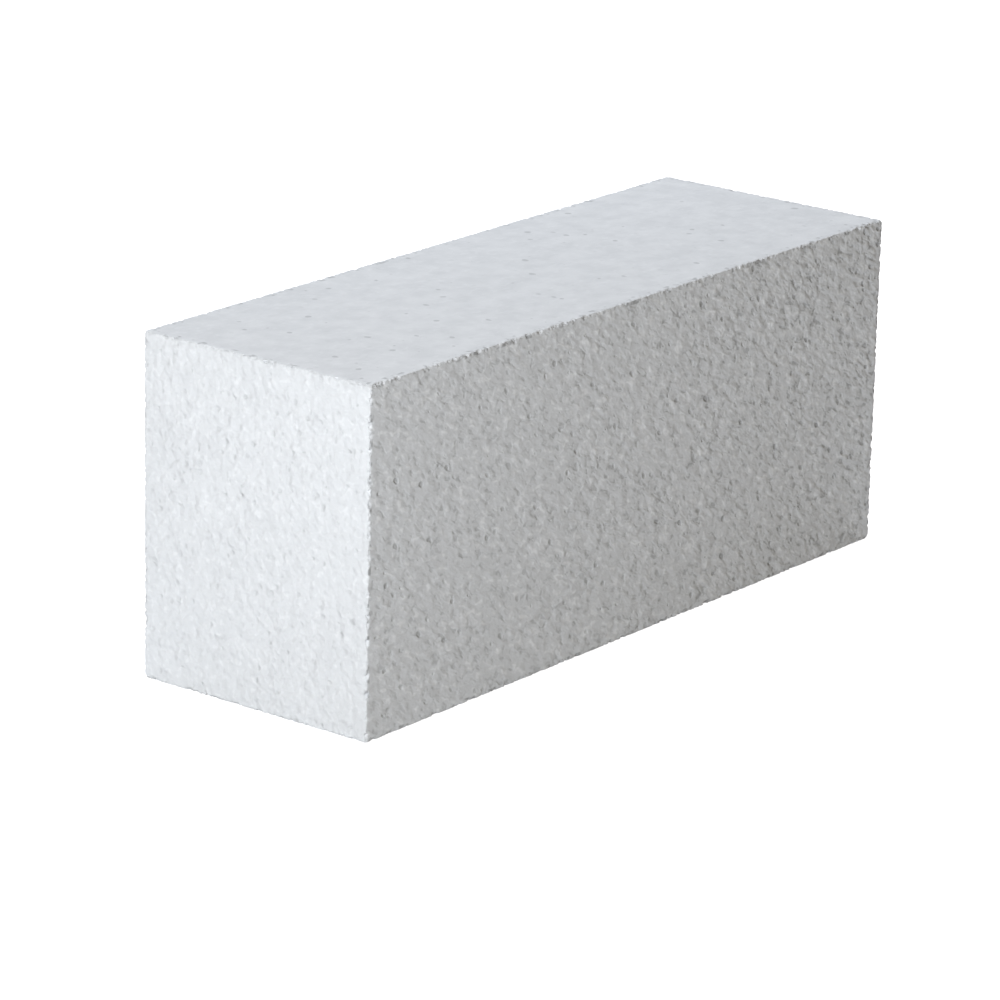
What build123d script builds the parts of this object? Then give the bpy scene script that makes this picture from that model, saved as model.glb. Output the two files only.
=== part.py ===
from build123d import *
import os

# A plain building block of aerated concrete, cut by wires from a larger cake as one solid piece.
# It stands on its long bed face, as it is laid: X runs along the wall, Y through it and Z up.
# The origin is the centre of the bottom bed face. All sizes are in millimetres.

# Sizes the block is sold by
block_length = 600.0
block_thickness = 200.0
block_height = 250.0

# Handling wear: the arrises are rubbed round, and each corner is broken off square to its diagonal
arris_radius = 1.0
corner_break_depth = 1.6


def cut_block():
    """The block as the wires leave it, with square arrises."""
    return Box(
        block_length,
        block_thickness,
        block_height,
        align=(Align.CENTER, Align.CENTER, Align.MIN),
    )


def break_plane(corner, middle):
    """The plane that one corner breaks off at, set in from it along the diagonal and facing the middle."""
    inward = Vector(
        1 if corner.X < middle.X else -1,
        1 if corner.Y < middle.Y else -1,
        1 if corner.Z < middle.Z else -1,
    ).normalized()
    return Plane(origin=corner + inward * corner_break_depth, z_dir=inward)


def worn_block():
    """The cut block with its arrises rubbed to one radius and its eight corners broken off."""
    square = cut_block()
    worn = fillet(square.edges(), arris_radius)
    for vertex in square.vertices():
        worn = split(worn, bisect_by=break_plane(vertex.center(), square.center()), keep=Keep.TOP)
    return worn


os.makedirs("parts", exist_ok=True)
block = worn_block()
block.label = "concrete_block"
export_step(block, "parts/concrete_block.step")
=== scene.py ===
import math
import random

import bmesh
import bpy
from mathutils import Matrix, Vector, kdtree, noise


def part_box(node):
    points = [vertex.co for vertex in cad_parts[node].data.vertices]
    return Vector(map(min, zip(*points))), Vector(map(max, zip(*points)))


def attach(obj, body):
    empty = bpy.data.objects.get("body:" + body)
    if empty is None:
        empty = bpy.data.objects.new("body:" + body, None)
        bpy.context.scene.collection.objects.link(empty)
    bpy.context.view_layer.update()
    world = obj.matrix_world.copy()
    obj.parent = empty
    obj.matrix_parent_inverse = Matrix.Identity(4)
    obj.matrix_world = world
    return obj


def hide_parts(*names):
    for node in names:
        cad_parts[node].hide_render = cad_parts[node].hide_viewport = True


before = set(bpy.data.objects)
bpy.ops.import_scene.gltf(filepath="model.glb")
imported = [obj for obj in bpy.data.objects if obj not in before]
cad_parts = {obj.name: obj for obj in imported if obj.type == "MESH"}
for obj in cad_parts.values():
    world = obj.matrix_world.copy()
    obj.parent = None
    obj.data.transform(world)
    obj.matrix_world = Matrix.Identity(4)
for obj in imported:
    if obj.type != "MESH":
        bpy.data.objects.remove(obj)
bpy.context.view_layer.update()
blockLow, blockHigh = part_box("concrete_block")
blockMiddle = (blockLow + blockHigh) / 2
blockHalf = (blockHigh - blockLow) / 2
mm = 0.001
print("frame loaded, block", [round(side * 2, 4) for side in blockHalf], "m")


# The camera, at the photograph's angle: a long lens from the left end, a little above

photoCamera = {
    "aim": (-0.2359, -0.1597, 0.1691),  # what the middle of the picture looks at, metres
    "heading": 37.85,  # which way it looks, degrees from +X towards +Y
    "dip": 17.55,      # degrees below level
    "roll": 1.24,      # degrees
    "distance": 3.234,
    "lens": 175.6,
    "sensor": 36,
}


# an unturned camera looks straight down with its top towards +Y, so level and +X are each 90 degrees off
def makeCamera(look):
    data = bpy.data.cameras.new("photoCamera")
    data.sensor_width = look["sensor"]
    data.lens = look["lens"]
    camera = bpy.data.objects.new("photoCamera", data)
    turn = (
        Matrix.Rotation(math.radians(look["heading"] - 90), 4, "Z")
        @ Matrix.Rotation(math.radians(90 - look["dip"]), 4, "X")
        @ Matrix.Rotation(math.radians(look["roll"]), 4, "Z")
    )
    back = Matrix.Translation((0, 0, look["distance"]))
    camera.matrix_world = Matrix.Translation(look["aim"]) @ turn @ back
    bpy.context.scene.collection.objects.link(camera)
    bpy.context.scene.camera = camera


# Shader writing: a wire is a socket that sums and products can be written with

class Wire:
    def __init__(self, maker, socket):
        self.maker = maker
        self.socket = socket

    def out(self, name):
        return Wire(self.maker, self.socket.node.outputs[name])

    def math(self, operation, *others):
        values = dict(enumerate((self, *others)))
        return self.maker.add("ShaderNodeMath", {"operation": operation}, values)

    def least(self, other):
        return self.math("MINIMUM", other)

    def most(self, other):
        return self.math("MAXIMUM", other)

    def __add__(self, other):
        return self.math("ADD", other)

    def __sub__(self, other):
        return self.math("SUBTRACT", other)

    def __mul__(self, other):
        return self.math("MULTIPLY", other)

    def __truediv__(self, other):
        return self.math("DIVIDE", other)

    def __rsub__(self, other):
        return self.maker.add("ShaderNodeMath", {"operation": "SUBTRACT"}, {0: other, 1: self})

    __radd__ = __add__
    __rmul__ = __mul__


class ShaderMaker:
    def __init__(self, name, world=None):
        if world:
            world.use_nodes = True
            self.tree = world.node_tree
        else:
            self.material = bpy.data.materials.new(name)
            self.material.use_nodes = True
            self.tree = self.material.node_tree
        self.tree.nodes.clear()

    # kind of node, its own settings, then values or wires for its sockets by name or number
    def add(self, kind, settings=None, values=None):
        node = self.tree.nodes.new(kind)
        for name, setting in (settings or {}).items():
            setattr(node, name, setting)
        for key, value in (values or {}).items():
            if isinstance(value, Wire):
                self.tree.links.new(value.socket, node.inputs[key])
            else:
                node.inputs[key].default_value = value
        shown = [socket for socket in node.outputs if socket.enabled]
        return Wire(self, shown[0]) if shown else node

    def vector(self, operation, *values, **named):
        sockets = {**dict(enumerate(values)), **named}
        return self.add("ShaderNodeVectorMath", {"operation": operation}, sockets)

    def noise(self, place, width, detail=1.0, roughness=0.5):
        sockets = {"Vector": place, "Scale": 1 / width, "Detail": detail, "Roughness": roughness}
        return self.add("ShaderNodeTexNoise", None, sockets)

    def cells(self, place, width):
        return self.add("ShaderNodeTexVoronoi", None, {"Vector": place, "Scale": 1 / width})

    # sockets 0, 6 and 7 of a colour mix are its share and its two colours
    def tint(self, share, first, second):
        return self.add("ShaderNodeMix", {"data_type": "RGBA"}, {0: share, 6: first, 7: second})


# noise swings about a half, and a mask turns over at a half
half = 0.5


def clamped(wire):
    return wire.most(0).least(1)


def sharpened(wire, contrast):
    return clamped((wire - half) * contrast + half)


def finishedPiece(bm, name, material):
    mesh = bpy.data.meshes.new(name)
    bm.to_mesh(mesh)
    bm.free()
    mesh.materials.append(material)
    piece = bpy.data.objects.new(name, mesh)
    bpy.context.scene.collection.objects.link(piece)
    return piece


# Stage: a pale floor that the camera sees as nearly white, with the block's soft shadow on it

stageLook = {
    "floorSide": 14.0,      # metres
    "floorCells": 4,
    "floorDrop": 0.3 * mm,  # how far under the block, so that the two don't touch
    "floorColour": (0.78, 0.78, 0.78, 1),
    "floorLift": 0.90,      # light the camera alone sees coming off the floor
    "skyColour": (1.0, 0.82, 0.59, 1),
    "skyStrength": 0.16,
    "seenSky": (1, 1, 1, 1),
}


def cameraSeen(shader):
    path = shader.add("ShaderNodeLightPath")
    return clamped(path.out("Is Camera Ray") + path.out("Is Glossy Ray") + path.out("Is Transmission Ray"))


def makeFloor(look):
    shader = ShaderMaker("paleFloor")
    plain = shader.add("ShaderNodeBsdfDiffuse", None, {"Color": look["floorColour"]})
    lift = shader.add("ShaderNodeEmission", None, {"Strength": cameraSeen(shader) * look["floorLift"]})
    both = shader.add("ShaderNodeAddShader", None, {0: plain, 1: lift})
    shader.add("ShaderNodeOutputMaterial", None, {"Surface": both})
    bm = bmesh.new()
    cells = look["floorCells"]
    bmesh.ops.create_grid(bm, x_segments=cells, y_segments=cells, size=look["floorSide"] / 2)
    bmesh.ops.translate(bm, verts=bm.verts, vec=(0, 0, -look["floorDrop"]))
    finishedPiece(bm, "paleFloor", shader.material)


def makeSky(look):
    world = bpy.data.worlds.new("studio")
    bpy.context.scene.world = world
    shader = ShaderMaker("studio", world)
    light = {"Color": look["skyColour"], "Strength": look["skyStrength"]}
    lit = shader.add("ShaderNodeBackground", None, light)
    seen = shader.add("ShaderNodeBackground", None, {"Color": look["seenSky"], "Strength": 1.0})
    both = shader.add("ShaderNodeMixShader", None, {0: cameraSeen(shader), 1: lit, 2: seen})
    shader.add("ShaderNodeOutputWorld", None, {"Surface": both})


# Two soft square lamps: the key lights the left end, the top lamp the top and a little of the back

lampLook = {
    "keyLamp": {
        "place": (-2.18, -0.79, 1.06),
        "target": (0, 0, 0.12),
        "side": 0.9,
        "watts": 41,
        "colour": (0.93, 0.966, 1.0),
    },
    "topLamp": {
        "place": (0.8, 1.2, 2.0),
        "target": (0, 0, 0.12),
        "side": 1.2,
        "watts": 35,
        "colour": (0.84, 0.905, 1.0),
    },
}


def makeLamps(lamps):
    for name, look in lamps.items():
        data = bpy.data.lights.new(name, "AREA")
        data.shape = "SQUARE"
        data.size = look["side"]
        data.energy = look["watts"]
        data.color = look["colour"]
        lamp = bpy.data.objects.new(name, data)
        towards = Vector(look["target"]) - Vector(look["place"])
        turn = towards.to_track_quat("-Z", "Y").to_matrix().to_4x4()
        lamp.matrix_world = Matrix.Translation(look["place"]) @ turn
        bpy.context.scene.collection.objects.link(lamp)


# The block: a gridded box with rubbed arrises, finer towards them, then bitten and crumbled

blockShape = {
    "gridStep": 5 * mm,
    "arrisRadius": 1.0 * mm,
    "arrisSegments": 3,
    "arrisAngle": 1.0,              # faces that meet at more than this make an arris, radians
    "refine": [                     # longest edge, in a band this wide along the arrises
        (2.5 * mm, 5.2 * mm),
        (1.25 * mm, 3.2 * mm),
        (0.64 * mm, 1.7 * mm),
    ],
    "refineSlack": 1.3,             # how much longer than that an edge may be
    "seed": 31,
    "biteSpacing": 6 * mm,
    "biteRadius": (1.3 * mm, 3.6 * mm),
    "biteDepth": (0.5 * mm, 2.4 * mm),
    "biteSkew": 2.2,                # how much rarer the deep bites are
    "biteLean": 0.5,                # how far a bite leans from the arris's diagonal
    "biteRough": 0.5,               # how far a bite is from round
    "biteRoughWidth": 1.7 * mm,
    "cornerBreak": 1.6 * mm,
    "cornerReach": 9.6 * mm,        # how far from a corner points are looked at for its break
    "crumbDepth": 2.0 * mm,
    "crumbWidth": 2.6 * mm,
    "crumbReach": 2.6 * mm,
    "crumbFractal": (1.0, 2.0, 3),  # how fast its octaves weaken and shrink, and how many
    "swell": 0.12 * mm,
    "swellWidth": 90 * mm,
}


# how far a point is from the two sides of the CAD box that make its nearest arris: the larger gap
def arrisGap(point):
    away = point - blockMiddle
    gaps = sorted(blockHalf[axis] - abs(away[axis]) for axis in range(3))
    return gaps[1]


def liesAlong(edge, axis):
    span = edge.verts[1].co - edge.verts[0].co
    return abs(span[axis]) > max(abs(span[other]) for other in range(3) if other != axis)


def cutGrid(bm, step):
    for axis in range(3):
        along = [edge for edge in bm.edges if liesAlong(edge, axis)]
        cells = round(blockHalf[axis] * 2 / step)
        bmesh.ops.subdivide_edges(bm, edges=along, cuts=cells - 1, use_grid_fill=True)


def roundArrises(bm, shape):
    arrises = [edge for edge in bm.edges if edge.calc_face_angle() > shape["arrisAngle"]]
    bmesh.ops.bevel(
        bm, geom=arrises, offset=shape["arrisRadius"], offset_type="OFFSET",
        segments=shape["arrisSegments"], profile=0.5, affect="EDGES", material=-1,
    )


def refineArrises(bm, shape):
    for length, width in shape["refine"]:
        edges = [
            edge for edge in bm.edges
            if edge.calc_length() > shape["refineSlack"] * length
            and max(arrisGap(vert.co) for vert in edge.verts) < width
        ]
        bmesh.ops.subdivide_edges(bm, edges=edges, cuts=1, use_grid_fill=True)
    uneven = [face for face in bm.faces if len(face.verts) > 4]
    bmesh.ops.triangulate(bm, faces=uneven)


# Points along the twelve arrises, evenly random, each with the outward diagonal there
def arrisPlaces(spacing, dice):
    for axis in range(3):
        others = [side for side in range(3) if side != axis]
        for signA in (-1, 1):
            for signB in (-1, 1):
                outward = Vector((0, 0, 0))
                outward[others[0]], outward[others[1]] = signA, signB
                for _ in range(round(2 * blockHalf[axis] / spacing)):
                    place = blockMiddle.copy()
                    place[axis] += dice.uniform(-1, 1) * blockHalf[axis]
                    place[others[0]] += signA * blockHalf[others[0]]
                    place[others[1]] += signB * blockHalf[others[1]]
                    yield place, outward.normalized()


# Each bite is a rough ball set into the arris, and the points in it are pushed in to its far side
def biteArrises(bm, shape):
    dice = random.Random(shape["seed"])
    tree = kdtree.KDTree(len(bm.verts))
    for vert in bm.verts:
        tree.insert(vert.co, vert.index)
    tree.balance()
    bites = 0
    for place, outward in arrisPlaces(shape["biteSpacing"], dice):
        radius = dice.uniform(*shape["biteRadius"])
        shallow, deep = shape["biteDepth"]
        depth = shallow + (deep - shallow) * dice.random() ** shape["biteSkew"]
        lean = Vector([dice.uniform(-shape["biteLean"], shape["biteLean"]) for _ in range(3)])
        inward = -(outward + lean).normalized()
        centre = place + inward * (depth - radius)
        for _, index, _ in tree.find_range(centre, radius):
            vert = bm.verts[index]
            rough = radius * (1 + shape["biteRough"] * noise.noise(vert.co / shape["biteRoughWidth"]))
            away = vert.co - centre
            if away.length < rough:
                ahead = away.dot(inward)
                reach = math.sqrt(ahead ** 2 - away.length_squared + rough ** 2)
                vert.co += inward * (reach - ahead)
        bites += 1
    print("arrises bitten", bites, "times")


# Each corner is broken off flat, square to its diagonal
def breakCorners(bm, shape):
    for vert in bm.verts:
        away = vert.co - blockMiddle
        corner = Vector([math.copysign(blockHalf[axis], away[axis]) for axis in range(3)])
        if (away - corner).length > shape["cornerReach"]:
            continue
        outward = Vector([math.copysign(1, away[axis]) for axis in range(3)]).normalized()
        proud = (away - corner).dot(outward) + shape["cornerBreak"]
        if proud > 0:
            vert.co -= outward * proud


def keptInside(point):
    return Vector([min(max(point[axis], blockLow[axis]), blockHigh[axis]) for axis in range(3)])


# The arrises crumble to the depth of a fine noise, and the faces sink by a slow, shallow one
def crumble(bm, shape):
    bm.normal_update()
    for vert in bm.verts:
        point = vert.co.copy()
        nearArris = max(0, 1 - arrisGap(point) / shape["crumbReach"])
        crumb = max(0, noise.fractal(point / shape["crumbWidth"], *shape["crumbFractal"]))
        swell = max(0, half + half * noise.noise(point / shape["swellWidth"]))
        depth = shape["crumbDepth"] * crumb * nearArris + shape["swell"] * swell
        vert.co = keptInside(point - vert.normal * depth)


def makeBlock(shape, material):
    bm = bmesh.new()
    bmesh.ops.create_cube(bm, size=2)
    bmesh.ops.scale(bm, vec=blockHalf, verts=bm.verts)
    bmesh.ops.translate(bm, vec=blockMiddle, verts=bm.verts)
    cutGrid(bm, shape["gridStep"])
    roundArrises(bm, shape)
    refineArrises(bm, shape)
    bm.verts.ensure_lookup_table()
    bm.verts.index_update()
    biteArrises(bm, shape)
    breakCorners(bm, shape)
    crumble(bm, shape)
    bmesh.ops.recalc_face_normals(bm, faces=bm.faces)
    for face in bm.faces:
        face.smooth = True
    triangles = sum(len(face.verts) - 2 for face in bm.faces)
    block = finishedPiece(bm, "aerated_block", material)
    print("block made,", len(block.data.vertices), "points", triangles, "triangles")
    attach(block, "root")
    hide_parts("concrete_block")


# Aerated concrete: bluish white paste, full of small burst bubbles where the wires cut it, with shade
# painted into its hollows and a painted highlight on its crumbs.
# Widths and depths are in mm, and a stretch is how far the cutting draws a pattern out along the block.

concreteLook = {
    "paste": (0.815, 0.835, 0.86, 1),
    "dullPaste": (0.75, 0.77, 0.795, 1),
    # the colour of the painted shade in pores, bubbles, notches and dents
    "shadedPore": (0.38, 0.39, 0.40, 1),
    # chalky flecks, partly a painted highlight on the crumbs' crests
    "chalkAndHighlight": (0.955, 0.975, 1.0, 1),
    "roughness": 0.9,
    "stray": (7.0, 3.5),            # width and reach of what bends every pattern
    "slant": 0.32,                  # fall of the cutting's marks for each mm along the block
    "wrinkle": (7.0, 1.9),          # width, stretch
    "wrinkleDepth": {"side": 1.5, "end": 2.3, "bed": 0.13},
    "crumb": (4.2, 1.6),
    "crumbRoughness": 0.55,
    "crumbDepth": {"side": 0.48, "end": 0.25, "bed": 0.06},
    "grainEdge": 6.5,               # how sharply pores, chalky flecks with their painted highlight and painted notches stand out of the paste
    "poreBelow": 0.41,              # the crumb pattern's level under which a pore opens
    "poreDepth": {"side": 0.15, "end": 0.05, "bed": 0.03},
    # painted shade in the pores, by face, deepest on the long sides
    "paintedPoreShade": {"side": 0.38, "end": 0.12, "bed": 0.05},
    "chalkAbove": 0.57,             # and the level over which the paste is chalky
    # how much chalky fleck and painted highlight the crumbs' crests get, by face
    "chalkAndHighlightShare": {"side": 0.85, "end": 0.4, "bed": 0.2},
    "bubble": (7.5, 1.2),
    "bubbleSize": 0.36,             # largest radius as a share of the spacing
    "bubbleSkew": 3,                # how much rarer the large bubbles are
    "bubbleWall": 0.18,             # how wide their walls slope
    "bubbleDepth": {"side": 0.6, "end": 0.5, "bed": 0.05},
    # painted shade in the bubbles, darker in the large ones, by face
    "paintedBubbleShade": {"side": 1.4, "end": 0.5, "bed": 0.3},
    "dentWidth": 13,                # spacing of the dents painted as shade in the beds
    "dentSize": 0.24,
    "dentSkew": 1.8,
    "dentWall": 0.07,
    "paintedDentShade": 0.45,
    "notchWidth": 5.5,              # painted shade of chips close to the arrises
    "notchAbove": {"side": 0.52, "end": 0.55, "bed": 0.56},
    "notchReach": {"side": 3.6, "end": 1.5, "bed": 6.5},
    "paintedNotchShade": {"side": 0.85, "end": 0.10, "bed": 0.62},
    "patchWidth": 30,               # size of the rougher and smoother patches
    "patchContrast": 3,
    "patchSwing": 0.45,
    "openFrom": -120,               # the long sides' relief and the painted shade of pores and bubbles grow from here towards +X
    "openRun": 340,
    "openMore": 0.7,
    "blotch": (18.0, 1.6),
    "bedBlotch": 17.0,
    "blotchDetail": 2.0,
    "blotchContrast": {"side": 0.45, "end": 1.3, "bed": 3.0},
}


# masks of the beds and the ends, each turning over within a mm of the arris, and the gap to the arris
def faceMasks(shader, inMm):
    away = shader.vector("ABSOLUTE", shader.vector("SUBTRACT", inMm, tuple(blockMiddle / mm)))
    inside = shader.vector("SUBTRACT", tuple(blockHalf / mm), away)
    gaps = shader.add("ShaderNodeSeparateXYZ", None, {0: inside})
    endGap, sideGap, bedGap = gaps.out("X"), gaps.out("Y"), gaps.out("Z")
    beds = clamped(endGap.least(sideGap) - bedGap + half)
    ends = clamped(bedGap.least(sideGap) - endGap + half)
    fromArris = endGap.most(sideGap).least(bedGap).most(endGap.least(sideGap))
    return beds, ends, fromArris


def makeConcrete(look):
    shader = ShaderMaker("aeratedConcrete")
    place = shader.add("ShaderNodeTexCoord").out("Object")
    inMm = shader.vector("SCALE", place, Scale=1 / mm)
    beds, ends, fromArris = faceMasks(shader, inMm)
    along = shader.add("ShaderNodeSeparateXYZ", None, {0: inMm}).out("X")
    opened = clamped((along - look["openFrom"]) / look["openRun"]) * (1 - beds) * (1 - ends)
    opening = opened * look["openMore"] + 1

    # a value for each kind of face, the long sides' where neither bed nor end is
    def byFace(values):
        side = values["side"]
        return beds * (values["bed"] - side) + ends * (values["end"] - side) + side

    # every pattern strays a little, and the marks of the cutting slant and are drawn out
    strayWidth, strayReach = look["stray"]
    stray = shader.noise(inMm, strayWidth).out("Color")
    strayed = shader.vector("MULTIPLY_ADD", stray, (strayReach,) * 3, inMm)
    slant = shader.add("ShaderNodeCombineXYZ", None, {"Z": along * look["slant"]})
    slanted = shader.vector("ADD", strayed, slant)

    def drawn(stretch):
        return shader.vector("MULTIPLY", slanted, (1 / stretch, 1, 1))

    width, stretch = look["wrinkle"]
    wrinkle = shader.noise(drawn(stretch), width)
    width, stretch = look["crumb"]
    crumb = shader.noise(drawn(stretch), width, roughness=look["crumbRoughness"])
    shadedPore = clamped((look["poreBelow"] - crumb) * look["grainEdge"])
    # chalky flecks on the crumbs' crests, partly a painted highlight
    chalkAndHighlight = clamped((crumb - look["chalkAbove"]) * look["grainEdge"])

    # round pits, the large ones rare
    def pits(spacing, largest, skew, wall, stretch=1):
        cells = shader.cells(drawn(stretch), spacing)
        chance = shader.add("ShaderNodeSeparateColor", None, {0: cells.out("Color")})
        size = chance.math("POWER", skew) * largest
        return clamped((size - cells) / wall), size

    width, stretch = look["bubble"]
    bubble, bubbleSize = pits(width, look["bubbleSize"], look["bubbleSkew"], look["bubbleWall"], stretch)
    # dents in the beds, drawn only as painted shade
    paintedDent, _ = pits(look["dentWidth"], look["dentSize"], look["dentSkew"], look["dentWall"])
    # painted shade of notches along the arrises, in the colour only
    paintedNotch = shader.noise(strayed, look["notchWidth"]) - byFace(look["notchAbove"])
    paintedNotch = clamped(paintedNotch * look["grainEdge"]) * clamped(byFace(look["notchReach"]) - fromArris)

    # relief in mm, swinging about 0 so that it doesn't step where the kind of face changes
    relief = (wrinkle - half) * byFace(look["wrinkleDepth"]) + (crumb - half) * byFace(look["crumbDepth"])
    relief = relief - shadedPore * byFace(look["poreDepth"]) - bubble * byFace(look["bubbleDepth"])
    patch = sharpened(shader.noise(inMm, look["patchWidth"]), look["patchContrast"])
    relief = relief * opening * (patch * look["patchSwing"] + (1 - look["patchSwing"] / 2))
    bump = shader.add("ShaderNodeBump", None, {"Strength": 1.0, "Distance": mm, "Height": relief})

    width, stretch = look["blotch"]
    sideBlotch = shader.noise(drawn(stretch), width, look["blotchDetail"])
    bedBlotch = shader.noise(strayed, look["bedBlotch"], look["blotchDetail"])
    blotch = sharpened((bedBlotch - sideBlotch) * beds + sideBlotch, byFace(look["blotchContrast"]))
    colour = shader.tint(blotch, look["paste"], look["dullPaste"])
    # chalky flecks, partly a painted highlight on the crumbs' crests
    colour = shader.tint(chalkAndHighlight * byFace(look["chalkAndHighlightShare"]), colour, look["chalkAndHighlight"])

    # painted shade: the darkest of the hollows a point lies in, that of pores and bubbles growing towards
    # +X on the long sides
    paintedBubbleShade = bubble * bubbleSize * byFace(look["paintedBubbleShade"])
    paintedHollowShade = clamped((shadedPore * byFace(look["paintedPoreShade"])).most(paintedBubbleShade) * opening)
    paintedHollowShade = paintedHollowShade.most(paintedNotch * byFace(look["paintedNotchShade"])).most(paintedDent * beds * look["paintedDentShade"])
    colour = shader.tint(paintedHollowShade, colour, look["shadedPore"])
    surface = {"Base Color": colour, "Roughness": look["roughness"], "Normal": bump}
    skin = shader.add("ShaderNodeBsdfPrincipled", None, surface)
    shader.add("ShaderNodeOutputMaterial", None, {"Surface": skin})
    print("concrete mixed")
    return shader.material


bpy.context.scene.view_settings.view_transform = "Standard"
makeCamera(photoCamera)
makeFloor(stageLook)
makeSky(stageLook)
makeLamps(lampLook)
print("stage set")
makeBlock(blockShape, makeConcrete(concreteLook))
